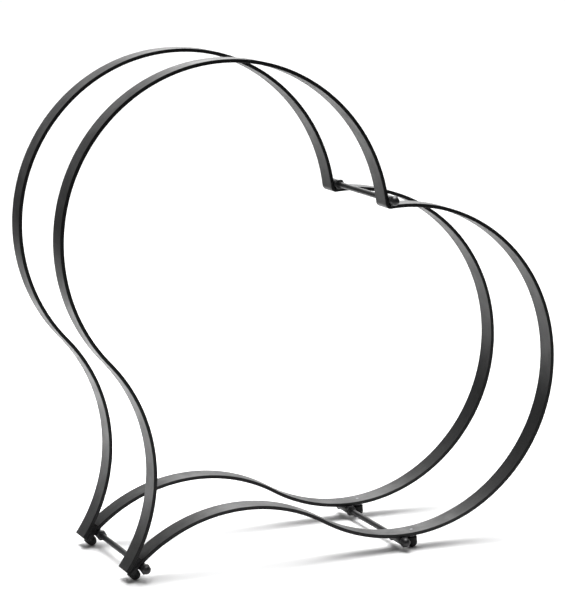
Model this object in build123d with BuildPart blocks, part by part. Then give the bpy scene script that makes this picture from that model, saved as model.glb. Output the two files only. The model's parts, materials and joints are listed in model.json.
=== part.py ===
from build123d import *
import os
from math import atan2, cos, degrees, pi, radians, sin, sqrt

# Heart-shaped firewood rack. Two hearts bent from flat steel bar stand one behind the other and are
# held apart by three round cross rods. Each rod passes through a bush welded to either heart, with a
# lock nut inside and a domed nut outside. The hearts lean until the tip and the lower lobe stand on
# four rubber feet. +X is to the right, +Y to the back, +Z up, in millimetres. The origin is on the
# floor, under the middle of the rack.

# Flat bar
bar_width = 32.0
bar_thickness = 5.0
bar_edge_round = 0.7

# Heart outline, on the centre line of the bar
lobe_radius = 230.0
lobe_offset = 163.0
lobe_height = 436.0
cleft_bend_radius = 5.0
tail_offset = 3.0
tail_splay = radians(3.5)
heart_spacing = 180.0

# Cross rods and what holds them
rod_diameter = 8.0
bush_diameter = 12.0
bush_bore_diameter = 8.4
hex_across_flats = 13.0
lock_nut_height = 6.5
nut_corner_chamfer = 0.8
nut_bore_diameter = 8.1
domed_nut_height = 12.0
domed_nut_hex_height = 5.5
domed_nut_bore_depth = 9.0
dome_diameter = 12.4
rod_end_gap = 0.5
tip_rod_along_tail = 19.2
belly_rod_angle = radians(-50.9)

# Rubber feet
foot_diameter = 14.5
foot_height = 15.5
foot_flat_depth = 0.4
foot_along_tail = 4.8
belly_foot_angle = radians(-46.2)
stud_diameter = 5.0
stud_hole_diameter = 5.3
stud_depth_in_foot = 8.0
stud_end_gap = 0.5
foot_nut_across_flats = 8.0
foot_nut_height = 5.0

# Filler between the two tails of a heart
tail_spacer_start = 1.5
tail_spacer_length = 24.0
tail_spacer_width = 28.0

# Welded and clamped faces stand this far apart
contact_gap = 0.05
foot_seat_gap = 0.15

half_bar = bar_thickness / 2
half_spacing = heart_spacing / 2
foot_radius = foot_diameter / 2
bush_radius = bush_diameter / 2
dome_radius = dome_diameter / 2


def point_at(centre, radius, angle):
    """The point at an angle and a distance from a centre, in the heart's own plane."""
    return centre + Vector(cos(angle), sin(angle)) * radius


# The right tail is an arc that starts beside the heart's axis, leans outwards by tail_splay, and runs
# smoothly into the lobe. Its radius follows from that.
lobe_centre = Vector(lobe_offset, lobe_height)
tail_run = lobe_offset - tail_offset
tail_radius = (tail_run**2 + lobe_height**2 - lobe_radius**2) / (
    2 * (lobe_radius + tail_run * cos(tail_splay) - lobe_height * sin(tail_splay))
)
tail_centre = Vector(tail_offset, 0) + Vector(cos(tail_splay), -sin(tail_splay)) * tail_radius
tail_end = Vector(tail_offset, 0)
tail_to_lobe = lobe_centre + (tail_centre - lobe_centre).normalized() * lobe_radius

# The bend in the cleft is a small arc that touches both lobes from above.
bend_height = lobe_height + sqrt((lobe_radius + cleft_bend_radius) ** 2 - lobe_offset**2)
bend_centre = Vector(0, bend_height)
lobe_to_bend = lobe_centre + (bend_centre - lobe_centre).normalized() * lobe_radius


def on_tail(distance, depth):
    """A point along the right tail from its end, and below the tail's centre line."""
    return point_at(tail_centre, tail_radius - depth, pi - tail_splay - distance / tail_radius)


def on_belly(angle, depth):
    """A point at an angle round the right lobe, and outside the lobe's centre line."""
    return point_at(lobe_centre, lobe_radius + depth, angle)


# The rubber feet are round-ended, and roll on these centres as the rack leans.
tip_foot_base = half_bar + foot_seat_gap
belly_foot_base = half_bar + foot_nut_height + 2 * contact_gap
round_to_base = foot_height - foot_radius
tip_foot_round = on_tail(foot_along_tail, tip_foot_base + round_to_base)
belly_foot_round = on_belly(belly_foot_angle, belly_foot_base + round_to_base)

# The heart leans to the right until both feet are at one height.
foot_line = belly_foot_round - tip_foot_round
lean = atan2(foot_line.Y, foot_line.X)
across = Vector(cos(lean), 0, -sin(lean))
along = Vector(sin(lean), 0, cos(lean))
foot_round_drop = tip_foot_round.X * across.Z + tip_foot_round.Y * along.Z
heart_tip = Vector(-lobe_height * sin(lean), 0, foot_radius - foot_flat_depth - foot_round_drop)
heart_plane = Plane(origin=heart_tip, x_dir=across, z_dir=(0, -1, 0))


def in_space(point, y=0.0):
    """A point of the heart's plane, placed in the rack at depth y."""
    return heart_tip + across * point.X + along * point.Y + Vector(0, y, 0)


def space_direction(point, target):
    """The direction in the rack from one point of the heart's plane to another."""
    return (in_space(target) - in_space(point)).normalized()


def foot_plane(base, towards, y):
    """The plane of a foot's base, looking along the foot towards the floor."""
    return Plane(origin=in_space(base, y), x_dir=(0, 1, 0), z_dir=space_direction(base, towards))


def chamfered_outline(height):
    """Half the side view of a hex nut whose corners are turned down at both ends."""
    return [
        (0, 0),
        (hex_across_flats / 2 - nut_corner_chamfer / 4, 0),
        (hex_across_flats / 2 + nut_corner_chamfer * 1.5, nut_corner_chamfer),
        (hex_across_flats / 2 + nut_corner_chamfer * 1.5, height - nut_corner_chamfer),
        (hex_across_flats / 2 - nut_corner_chamfer / 4, height),
        (0, height),
    ]


# Where each rod runs, and for each foot its top, the point that it faces, and its stud's reach upwards
bush_depth = half_bar + bush_radius + contact_gap
cleft_bush_height = lobe_height + sqrt((lobe_radius + bush_depth) ** 2 - lobe_offset**2)
rod_places = {
    "cleft": Vector(0, cleft_bush_height),
    "tip": on_tail(tip_rod_along_tail, bush_depth),
    "belly": on_belly(belly_rod_angle, bush_depth),
}
tip_foot_top = on_tail(foot_along_tail, tip_foot_base)
belly_foot_top = on_belly(belly_foot_angle, belly_foot_base)
foot_places = {
    "tip": (tip_foot_top, tail_centre, bar_thickness),
    "belly": (
        belly_foot_top,
        on_belly(belly_foot_angle, 2 * lobe_radius),
        bar_thickness + foot_nut_height + contact_gap,
    ),
}
sides = {"front": -1, "back": 1}

bar_face = half_spacing + bar_width / 2
bar_inner_face = half_spacing - bar_width / 2
domed_nut_start = bar_face + contact_gap
lock_nut_start = bar_inner_face - contact_gap
rod_length = 2 * (domed_nut_start + domed_nut_bore_depth - rod_end_gap)

os.makedirs("parts", exist_ok=True)

# Heart bars: one strip each, from the tail's end round both lobes to the other tail's end, with a
# hole for each foot's stud
for side_name, side in sides.items():
    with BuildPart() as heart_bar:
        with BuildSketch(heart_plane.offset(-side * half_spacing)):
            with BuildLine():
                RadiusArc(tail_end, tail_to_lobe, tail_radius)
                RadiusArc(tail_to_lobe, lobe_to_bend, lobe_radius, short_sagitta=False)
                mirror(about=Plane.YZ)
                RadiusArc(lobe_to_bend, Vector(-lobe_to_bend.X, lobe_to_bend.Y), cleft_bend_radius)
            trace(line_width=bar_thickness)
        extrude(amount=bar_width / 2, both=True)
        outlines = heart_bar.faces().filter_by(Axis.Y).edges()
        fillet(outlines, radius=bar_edge_round)
        for base, towards, stud_reach in foot_places.values():
            with BuildSketch(foot_plane(base, towards, side * half_spacing)):
                Circle(stud_hole_diameter / 2)
            extrude(amount=-(stud_reach + stud_end_gap), mode=Mode.SUBTRACT)
    heart_bar.part.label = f"{side_name}_heart_bar"
    export_step(heart_bar.part, f"parts/{heart_bar.part.label}.step")

# Tail spacers: the wedge that fills the gap between the tails of a heart
for side_name, side in sides.items():
    with BuildPart() as tail_spacer:
        with BuildSketch(heart_plane.offset(-side * half_spacing)):
            with Locations((0, tail_spacer_start + tail_spacer_length / 2)):
                Rectangle(bar_width, tail_spacer_length)
            with Locations((tail_centre.X, tail_centre.Y), (-tail_centre.X, tail_centre.Y)):
                Circle(tail_radius + half_bar + contact_gap, mode=Mode.SUBTRACT)
        extrude(amount=tail_spacer_width / 2, both=True)
    tail_spacer.part.label = f"{side_name}_tail_spacer"
    export_step(tail_spacer.part, f"parts/{tail_spacer.part.label}.step")

for place, rod_point in rod_places.items():
    # Cross rod, with a chamfer on each end
    with BuildPart() as rod:
        with BuildSketch(Plane(origin=in_space(rod_point), x_dir=(1, 0, 0), z_dir=(0, 1, 0))):
            Circle(rod_diameter / 2)
        extrude(amount=rod_length / 2, both=True)
        chamfer(rod.edges().filter_by(GeomType.CIRCLE), length=0.8)
    rod.part.label = f"{place}_rod"
    export_step(rod.part, f"parts/{rod.part.label}.step")

    for side_name, side in sides.items():
        outwards = (0, side, 0)

        # Bush, welded to the bar and as wide as the bar
        bush_middle = in_space(rod_point, side * half_spacing)
        with BuildPart() as bush:
            with BuildSketch(Plane(origin=bush_middle, x_dir=(1, 0, 0), z_dir=outwards)):
                Circle(bush_radius)
                Circle(bush_bore_diameter / 2, mode=Mode.SUBTRACT)
            extrude(amount=bar_width / 2, both=True)
            chamfer(bush.edges().filter_by(GeomType.CIRCLE), length=0.4)
        bush.part.label = f"{side_name}_{place}_bush"
        export_step(bush.part, f"parts/{bush.part.label}.step")

        # Lock nut, against the inner end of the bush
        nut_base = in_space(rod_point, side * (lock_nut_start - lock_nut_height))
        nut_turning = Plane(origin=nut_base, x_dir=(1, 0, 0), z_dir=(0, 0, side))
        with BuildPart() as lock_nut:
            with BuildSketch(Plane(origin=nut_base, x_dir=(1, 0, 0), z_dir=outwards)):
                RegularPolygon(hex_across_flats / 2, side_count=6, major_radius=False)
                Circle(nut_bore_diameter / 2, mode=Mode.SUBTRACT)
            extrude(amount=lock_nut_height)
            with BuildSketch(nut_turning):
                with BuildLine():
                    Polyline(*chamfered_outline(lock_nut_height), close=True)
                make_face()
            revolve(axis=Axis(nut_base, outwards), mode=Mode.INTERSECT)
        lock_nut.part.label = f"{side_name}_{place}_lock_nut"
        export_step(lock_nut.part, f"parts/{lock_nut.part.label}.step")

        # Domed nut, closed over the end of the rod
        dome_base = in_space(rod_point, side * domed_nut_start)
        dome_turning = Plane(origin=dome_base, x_dir=(1, 0, 0), z_dir=(0, 0, side))
        with BuildPart() as domed_nut:
            with BuildSketch(Plane(origin=dome_base, x_dir=(1, 0, 0), z_dir=outwards)):
                RegularPolygon(hex_across_flats / 2, side_count=6, major_radius=False)
            extrude(amount=domed_nut_hex_height)
            with BuildSketch(dome_turning):
                with BuildLine():
                    Polyline(*chamfered_outline(domed_nut_hex_height), close=True)
                make_face()
            revolve(axis=Axis(dome_base, outwards), mode=Mode.INTERSECT)
            with BuildSketch(dome_turning):
                with BuildLine():
                    Polyline(
                        (0, domed_nut_height),
                        (0, domed_nut_hex_height - 1),
                        (dome_radius, domed_nut_hex_height - 1),
                        (dome_radius, domed_nut_height - dome_radius),
                    )
                    CenterArc((0, domed_nut_height - dome_radius), dome_radius, 0, 90)
                make_face()
            revolve(axis=Axis(dome_base, outwards))
            with BuildSketch(Plane(origin=dome_base, x_dir=(1, 0, 0), z_dir=outwards)):
                Circle(nut_bore_diameter / 2)
            extrude(amount=domed_nut_bore_depth, mode=Mode.SUBTRACT)
        domed_nut.part.label = f"{side_name}_{place}_domed_nut"
        export_step(domed_nut.part, f"parts/{domed_nut.part.label}.step")

for place, (base, towards, stud_reach) in foot_places.items():
    for side_name, side in sides.items():
        foot_base = foot_plane(base, towards, side * half_spacing)
        foot_turning = Plane(
            origin=foot_base.origin, x_dir=foot_base.x_dir, z_dir=foot_base.x_dir.cross(foot_base.z_dir)
        )

        # Foot: a rubber barrel with a round end, worn flat where it stands on the floor
        with BuildPart() as foot:
            with BuildSketch(foot_turning):
                with BuildLine():
                    Polyline(
                        (0, foot_height),
                        (0, 0),
                        (foot_radius - 1, 0),
                        (foot_radius, 1),
                        (foot_radius, round_to_base),
                    )
                    CenterArc((0, round_to_base), foot_radius, 0, 90)
                make_face()
            revolve(axis=Axis(foot_base.origin, foot_base.z_dir))
            with BuildSketch(foot_base):
                Circle(stud_diameter / 2 + contact_gap)
            extrude(amount=stud_depth_in_foot, mode=Mode.SUBTRACT)
            split(bisect_by=Plane.XY, keep=Keep.TOP)
        foot.part.label = f"{side_name}_{place}_foot"
        export_step(foot.part, f"parts/{foot.part.label}.step")

        # Stud: moulded into the foot, and through the bar
        with BuildPart() as stud:
            with BuildSketch(foot_base.offset(stud_depth_in_foot - contact_gap)):
                Circle(stud_diameter / 2)
            extrude(amount=-(stud_depth_in_foot + stud_reach))
            chamfer(stud.edges().filter_by(GeomType.CIRCLE), length=0.5)
        stud.part.label = f"{side_name}_{place}_foot_stud"
        export_step(stud.part, f"parts/{stud.part.label}.step")

        # Foot nut: fixes the height of a belly foot
        if place == "belly":
            with BuildPart() as foot_nut:
                with BuildSketch(foot_base.offset(-contact_gap)):
                    RegularPolygon(foot_nut_across_flats / 2, side_count=6, major_radius=False)
                    Circle(stud_diameter / 2 + contact_gap, mode=Mode.SUBTRACT)
                extrude(amount=-foot_nut_height)
            foot_nut.part.label = f"{side_name}_{place}_foot_nut"
            export_step(foot_nut.part, f"parts/{foot_nut.part.label}.step")

print("lean", round(degrees(lean), 2), "tail radius", round(tail_radius, 1), "tip", heart_tip)
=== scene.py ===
import json
import math

import bmesh
import bpy
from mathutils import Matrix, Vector, noise


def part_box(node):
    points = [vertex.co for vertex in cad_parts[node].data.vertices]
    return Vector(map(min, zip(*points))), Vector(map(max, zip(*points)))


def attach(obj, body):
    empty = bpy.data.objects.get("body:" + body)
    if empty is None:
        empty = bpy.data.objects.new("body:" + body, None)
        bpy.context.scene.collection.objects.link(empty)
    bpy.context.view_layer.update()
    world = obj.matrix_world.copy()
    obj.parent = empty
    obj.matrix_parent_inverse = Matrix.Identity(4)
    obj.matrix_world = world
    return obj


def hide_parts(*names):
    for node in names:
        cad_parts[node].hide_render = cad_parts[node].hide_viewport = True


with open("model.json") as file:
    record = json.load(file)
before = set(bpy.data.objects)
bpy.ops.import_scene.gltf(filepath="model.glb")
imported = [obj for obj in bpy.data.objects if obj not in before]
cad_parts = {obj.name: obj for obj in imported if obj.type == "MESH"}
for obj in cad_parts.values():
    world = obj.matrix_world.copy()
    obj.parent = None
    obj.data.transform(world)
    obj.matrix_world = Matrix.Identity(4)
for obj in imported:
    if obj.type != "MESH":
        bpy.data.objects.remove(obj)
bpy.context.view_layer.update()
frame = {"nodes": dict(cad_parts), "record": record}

# A heart-shaped firewood rack: two hearts of flat steel bar, held apart by three cross rods and standing
# on four rubber feet. Lengths are in metres and angles in radians. Most places come from the boxes of
# the CAD nodes.
MM = 0.001

# Dimensions that repeat the CAD's
BAR_WIDTH = 32 * MM
BAR_THICKNESS = 5 * MM
BAR_EDGE_ROUND = 0.7 * MM
LOBE_RADIUS = 230 * MM
LOBE_CENTRE = Vector((0.163, 0.436))
CLEFT_BEND_RADIUS = 5 * MM
TAIL_END = Vector((0.003, 0.0))
TAIL_SPLAY = math.radians(3.5)
LEAN = math.radians(38.605105852)
ROD_RADIUS = 4 * MM
ROD_CHAMFER = 0.8 * MM
BUSH_BORE_RADIUS = 4.2 * MM
BUSH_CHAMFER = 0.4 * MM
NUT_FLATS = 13 * MM
NUT_CORNER_CHAMFER = 0.8 * MM
NUT_BORE_RADIUS = 4.05 * MM
DOMED_NUT_HEX_HEIGHT = 5.5 * MM
DOMED_NUT_BORE_DEPTH = 9 * MM
DOME_RADIUS = 6.2 * MM
FOOT_RADIUS = 7.25 * MM
FOOT_HEIGHT = 15.5 * MM
STUD_HOLE_RADIUS = 2.65 * MM
FOOT_NUT_FLATS = 8 * MM
FOOT_NUT_HEIGHT = 5 * MM
FOOT_NUT_BORE_RADIUS = 2.55 * MM
CONTACT_GAP = 0.05 * MM
FOOT_SEAT_GAP = 0.15 * MM

# Finer detail that the CAD leaves out
SAWN_END_ROUND = 0.35 * MM
THREAD_PITCH = 1.25 * MM
THREAD_DEPTH = 0.62 * MM
THREAD_LENGTH = 11.5 * MM
NUT_COUNTERSINK = 0.35 * MM
FOOT_NUT_COUNTERSINK = 0.3 * MM
BEAD_RADIUS = 1.55 * MM
BEAD_HALF_LENGTH = 14.2 * MM
BEAD_TO_SIDE = 3.4 * MM
BEAD_LIFT = 0.75 * MM
SEAM_START = 1.2 * MM
SEAM_END = 25.5 * MM
SEAM_OVERLAP = 0.25 * MM

SIDES = {"front": -1, "back": 1}
PLACES = ("cleft", "tip", "belly")
FOOT_PLACES = ("tip", "belly")
HALF_BAR = BAR_THICKNESS / 2
FOOT_SEATS = {
    "tip": HALF_BAR + FOOT_SEAT_GAP,
    "belly": HALF_BAR + FOOT_NUT_HEIGHT + 2 * CONTACT_GAP,
}
ACROSS = Vector((math.cos(LEAN), 0, -math.sin(LEAN)))
ALONG = Vector((math.sin(LEAN), 0, math.cos(LEAN)))

# The studio is turned to the camera's heading
VIEW_HEADING = math.radians(22.95)
VIEW_TILT = math.radians(10.39)
RANGE_SOCKETS = ("From Min", "From Max", "To Min", "To Max")


# ---------------------------------------------------------------- the heart's centre line


def polar(centre, radius, angle):
    return centre + Vector((math.cos(angle), math.sin(angle))) * radius


def angle_of(direction):
    return math.atan2(direction.y, direction.x)


def arc_steps(centre, radius, start, end, outwards, step):
    """Points along an arc, each with the direction out of the heart there."""
    count = max(2, round(abs(end - start) * radius / step))
    steps = []
    for i in range(count + 1):
        angle = start + (end - start) * i / count
        point = polar(centre, radius, angle)
        steps.append((point, (point - centre).normalized() * outwards))
    return steps


def right_half():
    """The right half of the heart, from the tail's end to the bottom of the cleft."""
    run = LOBE_CENTRE.x - TAIL_END.x
    rise = LOBE_CENTRE.y
    tail_radius = (run**2 + rise**2 - LOBE_RADIUS**2) / (
        2 * (LOBE_RADIUS + run * math.cos(TAIL_SPLAY) - rise * math.sin(TAIL_SPLAY))
    )
    tail_centre = polar(TAIL_END, tail_radius, -TAIL_SPLAY)
    bend_rise = math.sqrt((LOBE_RADIUS + CLEFT_BEND_RADIUS) ** 2 - LOBE_CENTRE.x**2)
    bend_centre = Vector((0, rise + bend_rise))
    joint = LOBE_CENTRE - tail_centre
    to_bend = bend_centre - LOBE_CENTRE
    tail = arc_steps(tail_centre, tail_radius, math.pi - TAIL_SPLAY, angle_of(joint), -1, 4 * MM)
    lobe = arc_steps(LOBE_CENTRE, LOBE_RADIUS, angle_of(-joint), angle_of(to_bend), 1, 4 * MM)
    bend = arc_steps(bend_centre, CLEFT_BEND_RADIUS, angle_of(-to_bend), -math.pi / 2, -1, 0.5 * MM)
    return tail + lobe[1:] + bend[1:]


half = right_half()
mirrored = [(Vector((-p.x, p.y)), Vector((-n.x, n.y))) for p, n in reversed(half[:-1])]
heart_line = half + mirrored

# The heart is set in place by the box of its CAD bar
bar_low, bar_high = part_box("front_heart_bar")
outer_edge = [p + n * HALF_BAR for p, n in heart_line]
outline = [ACROSS * p.x + ALONG * p.y for p in outer_edge]
heart_tip = Vector((bar_low.x - min(p.x for p in outline), 0, bar_high.z - max(p.z for p in outline)))


def in_space(point, y=0.0):
    """A point of the heart's plane, placed in the rack at depth y."""
    return heart_tip + ACROSS * point.x + ALONG * point.y + Vector((0, y, 0))


def centre_of(node):
    low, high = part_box(node)
    return (low + high) / 2


def nearest_on_heart(place, line=heart_line):
    """The closest point of the heart's centre line to a point, and the outward direction there."""
    flat = Vector((place.x, 0, place.z))
    point, outward = min(line, key=lambda step: (in_space(step[0]) - flat).length)
    nearest = in_space(point)
    direction = ACROSS * outward.x + ALONG * outward.y
    tangent = Vector((direction.z, 0, -direction.x))
    return nearest + tangent * (flat - nearest).dot(tangent), direction


def clamped(value):
    return min(1, max(0, value))


# ---------------------------------------------------------------- materials


class Shader:
    """A material with one Principled BSDF, and short ways to add the nodes that feed it."""

    def __init__(self, name):
        self.material = bpy.data.materials.new(name)
        self.material.use_nodes = True
        self.tree = self.material.node_tree
        self.principled = self.tree.nodes["Principled BSDF"]
        self.place = self.add("ShaderNodeTexCoord").outputs["Object"]

    def add(self, kind, **settings):
        node = self.tree.nodes.new(kind)
        for key, value in settings.items():
            setattr(node, key, value)
        return node

    def link(self, source, target):
        self.tree.links.new(source, target)

    def set(self, **values):
        for key, value in values.items():
            self.principled.inputs[key.replace("_", " ")].default_value = value

    def noise(self, scale, detail, roughness):
        node = self.add("ShaderNodeTexNoise")
        node.inputs["Scale"].default_value = scale
        node.inputs["Detail"].default_value = detail
        node.inputs["Roughness"].default_value = roughness
        self.link(self.place, node.inputs["Vector"])
        return node.outputs["Fac"]

    def remap(self, source, low, high, to_low, to_high):
        node = self.add("ShaderNodeMapRange", interpolation_type="SMOOTHSTEP")
        for socket, value in zip(RANGE_SOCKETS, (low, high, to_low, to_high)):
            node.inputs[socket].default_value = value
        self.link(source, node.inputs["Value"])
        return node.outputs["Result"]

    def ramp(self, source, *stops):
        node = self.add("ShaderNodeValToRGB")
        elements = node.color_ramp.elements
        while len(elements) < len(stops):
            elements.new(0.5)
        for element, (position, colour) in zip(elements, stops):
            element.position = position
            element.color = (*colour, 1)
        self.link(source, node.inputs["Fac"])
        return node.outputs["Color"]

    def blend(self, factor, a, b):
        node = self.add("ShaderNodeMix", data_type="RGBA")
        self.link(factor, node.inputs[0])
        self.link(a, node.inputs[6])
        self.link(b, node.inputs[7])
        return node.outputs[2]

    def join(self, a, b, operation="ADD"):
        node = self.add("ShaderNodeMath", operation=operation)
        self.link(a, node.inputs[0])
        self.link(b, node.inputs[1])
        return node.outputs[0]

    def bump(self, height, strength, distance, under=None):
        node = self.add("ShaderNodeBump")
        node.inputs["Strength"].default_value = strength
        node.inputs["Distance"].default_value = distance
        self.link(height, node.inputs["Height"])
        if under:
            self.link(under, node.inputs["Normal"])
        return node.outputs["Normal"]

    def edges(self, low, high):
        """1 on the outer edges of the mesh, 0 elsewhere."""
        return self.remap(self.add("ShaderNodeNewGeometry").outputs["Pointiness"], low, high, 0, 1)

    def facing_up(self, low, high):
        normal = self.add("ShaderNodeNewGeometry").outputs["Normal"]
        split = self.add("ShaderNodeSeparateXYZ")
        self.link(normal, split.inputs["Vector"])
        return self.remap(split.outputs["Z"], low, high, 0, 1)

    def output(self, source, socket):
        self.link(source, self.principled.inputs[socket])


def powder_coat():
    """Satin black powder coat: sandy grain, orange peel, cloudy gloss, a little dust and worn edges."""
    s = Shader("black_powder_coat")
    clouds = s.noise(14, 4, 0.6)
    grain = s.noise(1400, 2, 0.6)
    paint = s.ramp(clouds, (0.3, (0.0035, 0.0035, 0.0038)), (0.7, (0.0065, 0.0065, 0.0070)))
    sand = s.noise(480, 3, 0.6)
    speck = s.ramp(sand, (0.38, (0.0015, 0.0015, 0.0017)), (0.62, (0.013, 0.013, 0.0136)))
    paint = s.blend(s.remap(grain, 0.3, 0.7, 0.35, 0.75), paint, speck)
    dust_patches = s.noise(55, 5, 0.65)
    dust = s.join(s.facing_up(0.55, 1.0), s.remap(dust_patches, 0.45, 0.75, 0.0, 0.22), "MULTIPLY")
    dusty = s.ramp(dust_patches, (0.3, (0.06, 0.058, 0.054)), (0.8, (0.10, 0.097, 0.09)))
    paint = s.blend(dust, paint, dusty)
    wear_patches = s.remap(s.noise(120, 4, 0.7), 0.52, 0.72, 0.0, 0.5)
    wear = s.join(s.edges(0.515, 0.57), wear_patches, "MULTIPLY")
    bare = s.ramp(grain, (0.3, (0.035, 0.035, 0.036)), (0.7, (0.07, 0.07, 0.072)))
    s.output(s.blend(wear, paint, bare), "Base Color")
    gloss = s.remap(s.noise(30, 5, 0.6), 0.3, 0.7, 0.31, 0.42)
    s.output(s.join(gloss, s.remap(grain, 0.3, 0.7, 0.0, 0.07)), "Roughness")
    peel = s.bump(s.noise(620, 3, 0.6), 0.34, 0.00016)
    s.output(s.bump(grain, 0.16, 0.00004, peel), "Normal")
    s.set(IOR=1.45, Specular_IOR_Level=0.20)
    return s.material


def black_nut():
    """Smooth black plating over steel, with brighter corners where a spanner has rubbed."""
    s = Shader("black_nut")
    clouds = s.noise(160, 4, 0.6)
    plating = s.ramp(clouds, (0.3, (0.007, 0.007, 0.0078)), (0.7, (0.016, 0.016, 0.017)))
    rubbed = s.ramp(s.noise(900, 3, 0.6), (0.3, (0.03, 0.03, 0.032)), (0.7, (0.085, 0.084, 0.082)))
    wear = s.join(s.edges(0.53, 0.62), s.remap(clouds, 0.42, 0.68, 0.0, 0.55), "MULTIPLY")
    s.output(s.blend(wear, plating, rubbed), "Base Color")
    s.output(s.remap(s.noise(300, 4, 0.65), 0.3, 0.7, 0.26, 0.40), "Roughness")
    fine = s.bump(s.noise(1800, 3, 0.55), 0.12, 0.00004)
    s.output(s.bump(s.noise(240, 3, 0.5), 0.10, 0.00010, fine), "Normal")
    s.set(IOR=1.5, Specular_IOR_Level=0.40)
    return s.material


def zinc_steel():
    """Dull grey zinc plate, cloudy and lightly stained."""
    s = Shader("zinc_steel")
    clouds = s.noise(420, 5, 0.65)
    plate = s.ramp(clouds, (0.25, (0.17, 0.175, 0.185)), (0.75, (0.29, 0.295, 0.305)))
    stained = s.ramp(s.noise(900, 3, 0.6), (0.3, (0.10, 0.095, 0.085)), (0.7, (0.18, 0.17, 0.155)))
    stain = s.remap(s.noise(200, 4, 0.7), 0.55, 0.8, 0.0, 0.5)
    s.output(s.blend(stain, plate, stained), "Base Color")
    s.output(s.remap(clouds, 0.25, 0.75, 0.42, 0.62), "Roughness")
    s.output(s.bump(s.noise(2600, 3, 0.6), 0.25, 0.00004), "Normal")
    s.set(Metallic=1.0)
    return s.material


def black_rubber():
    """Matt moulded rubber, greyed by floor dust low down."""
    s = Shader("black_rubber")
    grain = s.noise(1100, 4, 0.6)
    rubber = s.ramp(grain, (0.3, (0.010, 0.010, 0.0105)), (0.75, (0.022, 0.022, 0.0225)))
    split = s.add("ShaderNodeSeparateXYZ")
    s.link(s.place, split.inputs["Vector"])
    low_down = s.remap(split.outputs["Z"], 0.0, 0.005, 1.0, 0.0)
    patches = s.remap(s.noise(260, 4, 0.65), 0.35, 0.7, 0.05, 0.6)
    dust = s.ramp(grain, (0.3, (0.05, 0.048, 0.044)), (0.75, (0.09, 0.086, 0.08)))
    s.output(s.blend(s.join(low_down, patches, "MULTIPLY"), rubber, dust), "Base Color")
    s.output(s.remap(grain, 0.3, 0.7, 0.58, 0.78), "Roughness")
    s.output(s.bump(grain, 0.30, 0.00008), "Normal")
    s.set(IOR=1.5, Specular_IOR_Level=0.25)
    return s.material


materials = {
    "black_powder_coat": powder_coat(),
    "black_nut": black_nut(),
    "zinc_steel": zinc_steel(),
    "black_rubber": black_rubber(),
}

for part in frame["record"]["subparts"]:
    node = frame["nodes"][part["node"]]
    node.data.materials.clear()
    node.data.materials.append(materials[part["material_slot"]])


# ---------------------------------------------------------------- mesh helpers


def new_piece(name, mesh, slot, smooth_angle, replaced=()):
    """A visible piece made from a mesh, which may stand in for CAD nodes."""
    mesh.normal_update()
    data = bpy.data.meshes.new(name)
    mesh.to_mesh(data)
    mesh.free()
    piece = bpy.data.objects.new(name, data)
    bpy.context.scene.collection.objects.link(piece)
    data.shade_smooth()
    data.set_sharp_from_angle(angle=math.radians(smooth_angle))
    data.materials.append(materials[slot])
    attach(piece, "root")
    if replaced:
        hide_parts(*replaced)
    return piece


def skin(mesh, rings):
    """Quads between closed rings of equally many points. A ring of one point closes the end."""
    made = [[mesh.verts.new(p) for p in ring] for ring in rings]
    for a, b in zip(made, made[1:]):
        count = max(len(a), len(b))
        for i in range(count):
            j = (i + 1) % count
            if len(a) == 1:
                mesh.faces.new((a[0], b[j], b[i]))
            elif len(b) == 1:
                mesh.faces.new((a[i], a[j], b[0]))
            else:
                mesh.faces.new((a[i], a[j], b[j], b[i]))
    return made


def turned(mesh, profile, base, axis, sections=64, start=None):
    """A surface of revolution from (radius, height) pairs. A radius may be a function of the angle."""
    side = start or axis.orthogonal().normalized()
    other = axis.cross(side).normalized()
    rings = []
    for radius, height in profile:
        if radius == 0:
            rings.append([base + axis * height])
            continue
        ring = []
        for i in range(sections):
            angle = 2 * math.pi * i / sections
            r = radius(angle) if callable(radius) else radius
            ring.append(base + axis * height + (side * math.cos(angle) + other * math.sin(angle)) * r)
        rings.append(ring)
    skin(mesh, rings)
    bmesh.ops.recalc_face_normals(mesh, faces=mesh.faces)


def softly_least(a, b, round_over):
    """The smaller of two lengths, with the corner between them rounded over."""
    least = min(a, b)
    blend = math.exp((least - a) / round_over) + math.exp((least - b) / round_over)
    return least - round_over * math.log(blend)


def hex_profile(flats, height, end_radius, chamfer, slope):
    """The sides of a hex nut as (radius, height) pairs: flats with turned-down, softened corners."""
    # The rings are closest together next to the end faces
    fractions = (0, 0.04, 0.1, 0.2, 0.32, 0.46, 0.62, 0.8, 1.0, 1.25)
    round_over = 0.06 * MM
    low = [chamfer * f for f in fractions]
    high = [height - chamfer * f for f in reversed(fractions)]
    middle = [low[-1] + (high[0] - low[-1]) * f for f in (0.25, 0.5, 0.75)]
    blunt_corner = flats / 2 / math.cos(math.pi / 6) - 0.02 * MM

    def at(h):
        limit = end_radius + min(h, height - h) * slope

        def radius(angle):
            turn = (angle % (math.pi / 3)) - math.pi / 6
            flat = flats / 2 / math.cos(turn)
            return softly_least(min(flat, blunt_corner), limit, round_over)

        return radius

    return [(at(h), h) for h in low + middle + high]


# ---------------------------------------------------------------- heart bars


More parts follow.
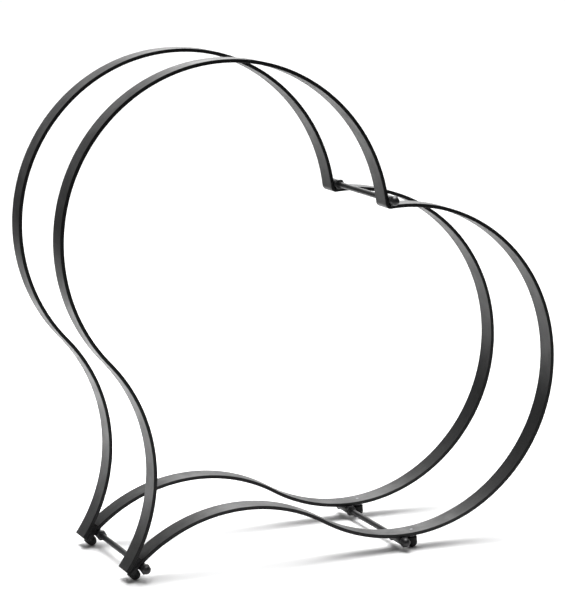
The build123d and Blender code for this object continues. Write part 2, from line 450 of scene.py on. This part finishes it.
def bar_section():
    """The bar's section as (outwards, sideways) pairs: a flat strip with rounded edges."""
    half_width = BAR_WIDTH / 2
    edge_steps = 5
    corners = []
    for thick, wide, start in ((1, 1, 0), (-1, 1, 90), (-1, -1, 180), (1, -1, 270)):
        for i in range(edge_steps + 1):
            angle = math.radians(start + 90 * i / edge_steps)
            corners.append((
                thick * (HALF_BAR - BAR_EDGE_ROUND) + BAR_EDGE_ROUND * math.cos(angle),
                wide * (half_width - BAR_EDGE_ROUND) + BAR_EDGE_ROUND * math.sin(angle),
            ))
    section = []
    for i, corner in enumerate(corners):
        section.append(corner)
        after = corners[(i + 1) % len(corners)]
        if i % (edge_steps + 1) == edge_steps:
            # Loops close to the rounded edges keep the flats flat in the light
            on_wide_face = abs(after[1] - corner[1]) > half_width
            stops = (0.01, 0.2, 0.4, 0.6, 0.8, 0.99) if on_wide_face else (0.08, 0.92)
            section += [tuple(a + (b - a) * f for a, b in zip(corner, after)) for f in stops]
    return section


def stud_drill(side_name, place, depth):
    """A cylinder through the bar, where a foot's stud passes."""
    centre, outward = nearest_on_heart(centre_of(f"{side_name}_{place}_foot_stud"))
    centre.y = depth
    reach = HALF_BAR + 0.1 * MM
    profile = [(0, -reach), (STUD_HOLE_RADIUS, -reach), (STUD_HOLE_RADIUS, reach), (0, reach)]
    mesh = bmesh.new()
    turned(mesh, profile, centre, outward, 48)
    data = bpy.data.meshes.new("drill")
    mesh.to_mesh(data)
    mesh.free()
    drill = bpy.data.objects.new("drill", data)
    bpy.context.scene.collection.objects.link(drill)
    return drill


def heart_bar(side_name):
    """One strip of bar swept round the heart, with broken ends and a hole for each foot's stud."""
    name = f"{side_name}_heart_bar"
    middle = centre_of(name).y
    section = bar_section()

    def ring(point, outward, inset=0.0):
        thinner = (HALF_BAR - inset) / HALF_BAR
        places = []
        for out, wide in section:
            narrower = wide - math.copysign(min(inset, abs(wide)), wide)
            places.append(in_space(point + outward * (out * thinner), middle + narrower))
        return places

    def sawn_end(end, following):
        """The rings of a sawn end whose edges are broken by hand, from the end inwards."""
        point, outward = end
        inwards = (following[0] - point).normalized()
        rounding = ((0, 1), (0.3, 0.3), (1, 0))
        return [
            ring(point + inwards * SAWN_END_ROUND * along, outward, SAWN_END_ROUND * inset)
            for along, inset in rounding
        ]

    mesh = bmesh.new()
    rings = sawn_end(heart_line[0], heart_line[1])
    rings += [ring(point, outward) for point, outward in heart_line[1:-1]]
    rings += reversed(sawn_end(heart_line[-1], heart_line[-2]))
    made = skin(mesh, rings)
    for end in (made[0], made[-1]):
        mesh.faces.new(end)
    bmesh.ops.recalc_face_normals(mesh, faces=mesh.faces)
    bar = new_piece(f"{name}_steel", mesh, "black_powder_coat", 40, (name,))

    drills = [stud_drill(side_name, place, middle) for place in FOOT_PLACES]
    for drill in drills:
        hole = bar.modifiers.new("stud_hole", "BOOLEAN")
        hole.operation = "DIFFERENCE"
        hole.solver = "EXACT"
        hole.object = drill
    bpy.context.view_layer.update()
    drilled = bpy.data.meshes.new_from_object(bar.evaluated_get(bpy.context.evaluated_depsgraph_get()))
    bar.modifiers.clear()
    bar.data = drilled
    drilled.shade_smooth()
    drilled.set_sharp_from_angle(angle=math.radians(40))
    for drill in drills:
        bpy.data.objects.remove(drill)


for side_name in SIDES:
    heart_bar(side_name)


# ---------------------------------------------------------------- cross rods


def cross_rod(place):
    """A round rod with a rolled thread that shows for a few turns inside each lock nut."""
    run_in_length = 1.2 * MM
    run_out_length = 0.8 * MM
    margin = 1 * MM
    rings_per_turn = 9
    plain_rings = 20
    sections = 48
    name = f"{place}_rod"
    low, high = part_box(name)
    centre = (low + high) / 2
    half_length = (high.y - low.y) / 2
    thread_out = abs(centre_of(f"front_{place}_lock_nut").y)
    thread_in = thread_out - THREAD_LENGTH
    threaded = THREAD_LENGTH + margin
    steps = round(threaded / THREAD_PITCH * rings_per_turn)
    end = [-half_length, -half_length + ROD_CHAMFER, -thread_out - margin]
    end += [-thread_out + threaded * i / steps for i in range(steps + 1)]
    plain = thread_in - 2 * margin
    between = [-plain + 2 * plain * i / plain_rings for i in range(plain_rings + 1)]
    stations = end + between + [-y for y in reversed(end)]

    mesh = bmesh.new()
    rings = [[Vector((centre.x, -half_length, centre.z))]]
    for y in stations:
        from_end = half_length - abs(y)
        run_in = clamped((abs(y) - thread_in) / run_in_length)
        run_out = clamped((thread_out + run_out_length - abs(y)) / run_out_length)
        ring = []
        for i in range(sections):
            angle = 2 * math.pi * i / sections
            turn = ((y / THREAD_PITCH - angle / (2 * math.pi)) % 1.0) * 2 - 1
            crest = clamped(1.12 - 1.25 * abs(turn))
            radius = ROD_RADIUS - THREAD_DEPTH * (run_in * run_out) * (1 - crest)
            if from_end < ROD_CHAMFER:
                radius = ROD_RADIUS - ROD_CHAMFER + from_end
            x = centre.x + radius * math.cos(angle)
            z = centre.z + radius * math.sin(angle)
            ring.append(Vector((x, y, z)))
        rings.append(ring)
    rings.append([Vector((centre.x, half_length, centre.z))])
    skin(mesh, rings)
    bmesh.ops.recalc_face_normals(mesh, faces=mesh.faces)
    new_piece(f"{name}_steel", mesh, "black_powder_coat", 40, (name,))


for place in PLACES:
    cross_rod(place)


# ---------------------------------------------------------------- bushes, nuts and weld beads


def bush(name):
    """A welded bush: a turned tube with broken edges."""
    low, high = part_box(name)
    base = Vector(((low.x + high.x) / 2, low.y, (low.z + high.z) / 2))
    length = high.y - low.y
    outer = (high.x - low.x) / 2
    near = [
        (BUSH_BORE_RADIUS, BUSH_CHAMFER),
        (BUSH_BORE_RADIUS + 0.12 * MM, 0.14 * MM),
        (BUSH_BORE_RADIUS + BUSH_CHAMFER, 0),
        (outer - BUSH_CHAMFER, 0),
        (outer - 0.14 * MM, 0.12 * MM),
        (outer, BUSH_CHAMFER),
    ]
    far = [(radius, length - height) for radius, height in reversed(near)]
    outside = [(outer, length * f) for f in (0.2, 0.4, 0.6, 0.8)]
    in_bore = [(BUSH_BORE_RADIUS, length / 2)]
    mesh = bmesh.new()
    turned(mesh, in_bore + near + outside + far + in_bore, base, Vector((0, 1, 0)))
    bmesh.ops.remove_doubles(mesh, verts=mesh.verts, dist=1e-7)
    new_piece(f"{name}_turned", mesh, "black_powder_coat", 35, (name,))


def hex_nut(name, side, dome=False):
    """A lock nut, or a domed nut that closes over the end of its rod."""
    low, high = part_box(name)
    centre = (low + high) / 2
    base = Vector((centre.x, low.y if side > 0 else high.y, centre.z))
    height = high.y - low.y
    hex_height = DOMED_NUT_HEX_HEIGHT if dome else height
    bore, sink = NUT_BORE_RADIUS, NUT_COUNTERSINK
    profile = [(bore, hex_height / 2), (bore, sink), (bore + sink, 0.0)]
    end_radius = NUT_FLATS / 2 - NUT_CORNER_CHAMFER / 4
    profile += hex_profile(NUT_FLATS, hex_height, end_radius, NUT_CORNER_CHAMFER, slope=1.75)
    if dome:
        start = height - DOME_RADIUS
        profile += [
            (DOME_RADIUS + 0.06 * MM, hex_height),
            (DOME_RADIUS + 0.01 * MM, hex_height + 0.07 * MM),
        ]
        for degrees in range(0, 90, 5):
            angle = math.radians(degrees)
            profile.append((DOME_RADIUS * math.cos(angle), start + DOME_RADIUS * math.sin(angle)))
        profile.append((0, height))
        profile = [(0, DOMED_NUT_BORE_DEPTH), (bore, DOMED_NUT_BORE_DEPTH)] + profile
    else:
        profile += [(bore + sink, hex_height), (bore, hex_height - sink), (bore, hex_height / 2)]
    mesh = bmesh.new()
    turned(mesh, profile, base, Vector((0, side, 0)), 96, Vector((1, 0, 0)))
    bmesh.ops.remove_doubles(mesh, verts=mesh.verts, dist=1e-7)
    new_piece(f"{name}_turned", mesh, "black_nut", 38, (name,))


def weld_bead(name, middle, across, up, seed):
    """A run of weld metal from front to back: overlapping ripples, a crowned back and round ends."""
    ring_spacing = 0.22 * MM
    ripple_pitch = 1.7 * MM
    ripple_bow = 0.9 * MM
    ripple_depth = 0.045
    lumpiness = 0.10
    flattening = 0.82
    sections = 20
    half_run = Vector((0, BEAD_HALF_LENGTH, 0))
    start, end = middle - half_run, middle + half_run
    run = end - start
    length = run.length
    count = round(length / ring_spacing)
    mesh = bmesh.new()
    rings = [[start]]
    for i in range(1, count):
        f = i / count
        place = start + run * f
        from_end = min(f, 1 - f) * length
        rounding = math.sqrt(max(0.0, 1 - max(0.0, 1 - from_end / (BEAD_RADIUS * 0.8)) ** 2))
        ring = []
        for j in range(sections):
            angle = 2 * math.pi * j / sections
            travel = f * length + ripple_bow * math.cos(2 * angle)
            ripple = math.sin(travel * 2 * math.pi / ripple_pitch + seed)
            spot = Vector((f * length * 180, math.cos(angle) * 1.5 + seed, math.sin(angle) * 1.5))
            uneven = 1 + ripple_depth * ripple + lumpiness * noise.noise(spot)
            radius = BEAD_RADIUS * rounding * uneven
            outwards = across * (math.cos(angle) * radius)
            ring.append(place + outwards + up * (math.sin(angle) * radius * flattening))
        rings.append(ring)
    rings.append([start + run])
    skin(mesh, rings)
    bmesh.ops.recalc_face_normals(mesh, faces=mesh.faces)
    new_piece(name, mesh, "black_powder_coat", 60)


def bush_welds(side_name, side, place):
    """The two beads of a bush, one on either side of where it touches the bar."""
    centre = centre_of(f"{side_name}_{place}_bush")
    # The cleft's bush rests on both lobes and is welded to each along its upper side
    lines = (mirrored, half) if place == "cleft" else (heart_line, heart_line)
    for number, line in enumerate(lines):
        on_bar = nearest_on_heart(centre, line)[0]
        on_bar.y = centre.y
        towards = (centre - on_bar).normalized()
        along = Vector((towards.z, 0, -towards.x)) * (2 * number - 1)
        middle = on_bar + along * BEAD_TO_SIDE + towards * (HALF_BAR + BEAD_LIFT)
        seed = number * 2.1 + side + len(place)
        weld_bead(f"{side_name}_{place}_weld_{number}", middle, along, towards, seed)


for side_name, side in SIDES.items():
    for place in PLACES:
        bush(f"{side_name}_{place}_bush")
        hex_nut(f"{side_name}_{place}_lock_nut", side)
        hex_nut(f"{side_name}_{place}_domed_nut", side, dome=True)
        bush_welds(side_name, side, place)


# ---------------------------------------------------------------- tail welds


def tail_gap(height):
    """Half the gap between the two tails, at a height above the heart's tip."""
    after = next(k for k in range(len(half)) if half[k][0].y >= height)
    a, b = half[after - 1][0], half[after][0]
    return a.x + (b.x - a.x) * (height - a.y) / (b.y - a.y) - HALF_BAR


def tail_seam(side_name, number, face):
    """The weld run that closes the wedge between the tails, dressed back to under the bar's edge."""
    ripple_pitch = 2.1
    ripple_height = 0.11 * MM
    wander_height = 0.18 * MM
    sink = 0.85 * MM
    bow = 0.7 * MM
    ring_steps = 60
    cross_steps = 12
    spacer_low, spacer_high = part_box(f"{side_name}_tail_spacer")
    bar_low, bar_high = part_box(f"{side_name}_heart_bar")
    outer = bar_low.y if face < 0 else bar_high.y
    inner = (spacer_low.y if face < 0 else spacer_high.y) - face * 0.3 * MM
    top = max(p.y for p, n in half if p.y < SEAM_END)
    mesh = bmesh.new()
    rings = []
    for i in range(ring_steps + 1):
        v = SEAM_START + (top - SEAM_START) * i / ring_steps
        reach = max(0.0, tail_gap(v)) + SEAM_OVERLAP
        ripple = math.sin(v / MM * 2 * math.pi / ripple_pitch) * ripple_height
        ring = []
        for j in range(cross_steps + 1):
            across = -1 + 2 * j / cross_steps
            crown = (0.55 - 0.75 * across**2) * MM
            wander = noise.noise(Vector((v * 260, across * 1.4, face * 3.0))) * wander_height
            rise = ripple * (1 - across**2)
            y = outer - face * (sink - crown * 0.6 - wander - rise)
            ring.append(in_space(Vector((across * reach, v - bow * across**2)), y))
        ring.append(in_space(Vector((reach, v)), inner))
        ring.append(in_space(Vector((-reach, v)), inner))
        rings.append(ring)
    made = skin(mesh, rings)
    mesh.faces.new(made[0])
    mesh.faces.new(made[-1])
    bmesh.ops.recalc_face_normals(mesh, faces=mesh.faces)
    new_piece(f"{side_name}_tail_weld_{number}", mesh, "black_powder_coat", 50)


for side_name in SIDES:
    for number, face in enumerate((-1, 1)):
        tail_seam(side_name, number, face)


# ---------------------------------------------------------------- rubber feet and their nuts


def foot(side_name, place):
    """A moulded rubber foot: a domed barrel with a lip on top and a parting line round its shoulder."""
    name = f"{side_name}_{place}_foot"
    on_bar, outward = nearest_on_heart(centre_of(f"{name}_stud"))
    base = on_bar + outward * FOOT_SEATS[place]
    base.y = centre_of(f"{side_name}_heart_bar").y
    body = FOOT_RADIUS - 0.12 * MM
    shoulder = FOOT_HEIGHT - FOOT_RADIUS
    stud_recess = [(0, 0.6 * MM), (2.6 * MM, 0.6 * MM), (2.6 * MM, 0.1 * MM), (2.9 * MM, 0.0)]
    lip = [
        (FOOT_RADIUS - 1.3 * MM, 0.0),
        (FOOT_RADIUS - 0.85 * MM, 0.05 * MM),
        (FOOT_RADIUS - 0.25 * MM, 0.40 * MM),
        (FOOT_RADIUS - 0.04 * MM, 0.75 * MM),
        (FOOT_RADIUS, 1.1 * MM),
        (FOOT_RADIUS, 2.2 * MM),
        (FOOT_RADIUS - 0.06 * MM, 2.5 * MM),
    ]
    barrel = [(body, 2.75 * MM), (body, 4.5 * MM), (body, 6.5 * MM), (body, shoulder - 0.9 * MM)]
    parting_line = [
        (body + 0.02 * MM, shoulder - 0.35 * MM),
        (FOOT_RADIUS, shoulder - 0.15 * MM),
        (FOOT_RADIUS, shoulder + 0.10 * MM),
        (body + 0.02 * MM, shoulder + 0.30 * MM),
    ]
    profile = stud_recess + lip + barrel + parting_line
    for degrees in range(6, 90, 4):
        angle = math.radians(degrees)
        profile.append((body * math.cos(angle), shoulder + FOOT_RADIUS * math.sin(angle)))
    profile.append((0, FOOT_HEIGHT))
    mesh = bmesh.new()
    turned(mesh, profile, base, outward, 72)
    # The foot is worn flat at the floor
    cut = bmesh.ops.bisect_plane(
        mesh,
        geom=mesh.verts[:] + mesh.edges[:] + mesh.faces[:],
        plane_co=(0, 0, 0),
        plane_no=(0, 0, -1),
        clear_outer=True,
        dist=1e-7,
    )
    rim = [e for e in cut["geom_cut"] if isinstance(e, bmesh.types.BMEdge)]
    bmesh.ops.contextual_create(mesh, geom=rim)
    bmesh.ops.recalc_face_normals(mesh, faces=mesh.faces)
    new_piece(f"{name}_moulded", mesh, "black_rubber", 35, (name,))


def foot_nut(side_name):
    """The zinc-plated nut between a belly foot and the bar."""
    name = f"{side_name}_belly_foot_nut"
    on_bar, outward = nearest_on_heart(centre_of(f"{side_name}_belly_foot_stud"))
    base = on_bar + outward * (HALF_BAR + CONTACT_GAP)
    base.y = centre_of(f"{side_name}_heart_bar").y
    height = FOOT_NUT_HEIGHT
    bore, sink = FOOT_NUT_BORE_RADIUS, FOOT_NUT_COUNTERSINK
    profile = [(bore, height / 2), (bore, sink), (bore + sink, 0.0)]
    end_radius = FOOT_NUT_FLATS / 2 - 0.1 * MM
    profile += hex_profile(FOOT_NUT_FLATS, height, end_radius, chamfer=0.5 * MM, slope=1.6)
    profile += [(bore + sink, height), (bore, height - sink), (bore, height / 2)]
    mesh = bmesh.new()
    turned(mesh, profile, base, outward, 96, Vector((0, 1, 0)))
    bmesh.ops.remove_doubles(mesh, verts=mesh.verts, dist=1e-7)
    new_piece(f"{name}_turned", mesh, "zinc_steel", 38, (name,))


for side_name in SIDES:
    for place in FOOT_PLACES:
        foot(side_name, place)
    foot_nut(side_name)


# ---------------------------------------------------------------- studio


def studio_floor():
    """A pale seamless floor with painted light and shade: white in a strip behind the rack, painted grey
    shade to its sides and front.
    """
    mesh = bmesh.new()
    bmesh.ops.create_grid(mesh, x_segments=24, y_segments=24, size=22.0)
    data = bpy.data.meshes.new("studio_floor")
    mesh.to_mesh(data)
    mesh.free()
    floor = bpy.data.objects.new("studio_floor", data)
    bpy.context.scene.collection.objects.link(floor)
    s = Shader("studio_floor")
    turn = s.add("ShaderNodeMapping", vector_type="POINT")
    turn.inputs["Rotation"].default_value = (0, 0, VIEW_HEADING)
    s.link(s.place, turn.inputs["Vector"])
    split = s.add("ShaderNodeSeparateXYZ")
    s.link(turn.outputs["Vector"], split.inputs["Vector"])
    to_side = s.add("ShaderNodeMath", operation="ABSOLUTE")
    s.link(split.outputs["X"], to_side.inputs[0])
    widening = s.remap(split.outputs["Y"], -1.0, 14.0, 0.0, 1.4)
    beyond = s.join(to_side.outputs[0], widening, "SUBTRACT")
    # Painted light and shade: the floor's colour is white in a strip behind the rack and grey to its
    # sides and front, in place of less light falling there
    strip = s.remap(beyond, 0.45, 1.7, 1.0, 0.0)
    behind = s.remap(split.outputs["Y"], -1.5, -0.35, 0.0, 1.0)
    painted_light_mask = s.join(strip, behind, "MULTIPLY")
    speck = s.noise(9, 4, 0.5)
    # The grey is painted shade, not the floor's own colour
    grey = s.ramp(speck, (0.3, (0.30, 0.30, 0.30)), (0.7, (0.33, 0.33, 0.33)))
    white = s.ramp(speck, (0.3, (0.93, 0.93, 0.93)), (0.7, (0.95, 0.95, 0.95)))
    s.output(s.blend(painted_light_mask, grey, white), "Base Color")
    s.output(s.remap(speck, 0.3, 0.7, 0.86, 0.92), "Roughness")
    s.output(s.bump(s.noise(600, 3, 0.5), 0.05, 0.0002), "Normal")
    s.set(Specular_IOR_Level=0.1)
    data.materials.append(s.material)


def studio_world():
    """Dim all round, with a broad bright backdrop behind the rack."""
    world = bpy.data.worlds.new("studio")
    world.use_nodes = True
    bpy.context.scene.world = world
    nodes, links = world.node_tree.nodes, world.node_tree.links
    place = nodes.new("ShaderNodeTexCoord")
    towards = nodes.new("ShaderNodeVectorMath")
    towards.operation = "DOT_PRODUCT"
    backdrop = Vector((0.38, 0.90, 0.22)).normalized()
    towards.inputs[1].default_value = backdrop
    glow = nodes.new("ShaderNodeMapRange")
    glow.interpolation_type = "SMOOTHSTEP"
    for socket, value in zip(RANGE_SOCKETS, (0.55, 0.97, 0.05, 1.3)):
        glow.inputs[socket].default_value = value
    background = nodes["Background"]
    background.inputs["Color"].default_value = (1, 1, 1, 1)
    links.new(place.outputs["Generated"], towards.inputs[0])
    links.new(towards.outputs["Value"], glow.inputs["Value"])
    links.new(glow.outputs["Result"], background.inputs["Strength"])


def lamp(name, kind, place, power):
    """A lamp that shines straight down until it is turned."""
    light = bpy.data.lights.new(name, kind)
    light.energy = power
    holder = bpy.data.objects.new(name, light)
    bpy.context.scene.collection.objects.link(holder)
    holder.location = place
    return holder


def softbox(name, place, size, power):
    box = lamp(name, "AREA", place, power)
    box.data.shape = "RECTANGLE"
    box.data.size, box.data.size_y = size
    return box


def panel(name, place, target, size, power):
    """A softbox turned towards a target."""
    box = softbox(name, place, size, power)
    box.rotation_mode = "QUATERNION"
    box.rotation_quaternion = (Vector(target) - Vector(place)).to_track_quat("-Z", "Y")


def studio_lights():
    """A long softbox over the floor behind the rack, a spot on the floor to its left, and dim panels."""
    heading = Vector((math.sin(VIEW_HEADING), math.cos(VIEW_HEADING), 0))
    above_floor = heading * 6.5 + Vector((0, 0, 4.2))
    overhead = softbox("overhead_strip", above_floor, (3.6, 17.0), power=620)
    overhead.rotation_euler = (0, 0, -VIEW_HEADING)
    panel("top_panel", (0.1, 0.5, 2.4), (0, 0, 0), (1.6, 1.6), power=50)
    panel("left_panel", (-2.2, -0.6, 1.5), (0, 0, 0.35), (1.4, 1.8), power=5)
    panel("right_panel", (2.4, 0.6, 1.6), (0, 0, 0.35), (1.4, 1.8), power=6)
    spot = lamp("floor_spot", "SPOT", (-0.5, 0.62, 2.4), power=400).data
    spot.spot_size = math.radians(28)
    spot.spot_blend = 1.0
    spot.shadow_soft_size = 0.4


def studio_camera():
    data = bpy.data.cameras.new("camera")
    data.lens = 151.42
    data.sensor_width = 36
    data.sensor_fit = "AUTO"
    data.clip_end = 100
    camera = bpy.data.objects.new("camera", data)
    bpy.context.scene.collection.objects.link(camera)
    camera.location = (-1.3353, -3.1420, 0.9696)
    camera.rotation_euler = (math.pi / 2 - VIEW_TILT, 0, -VIEW_HEADING)
    bpy.context.scene.camera = camera


studio_floor()
studio_world()
studio_lights()
studio_camera()
bpy.context.scene.view_settings.view_transform = "Standard"
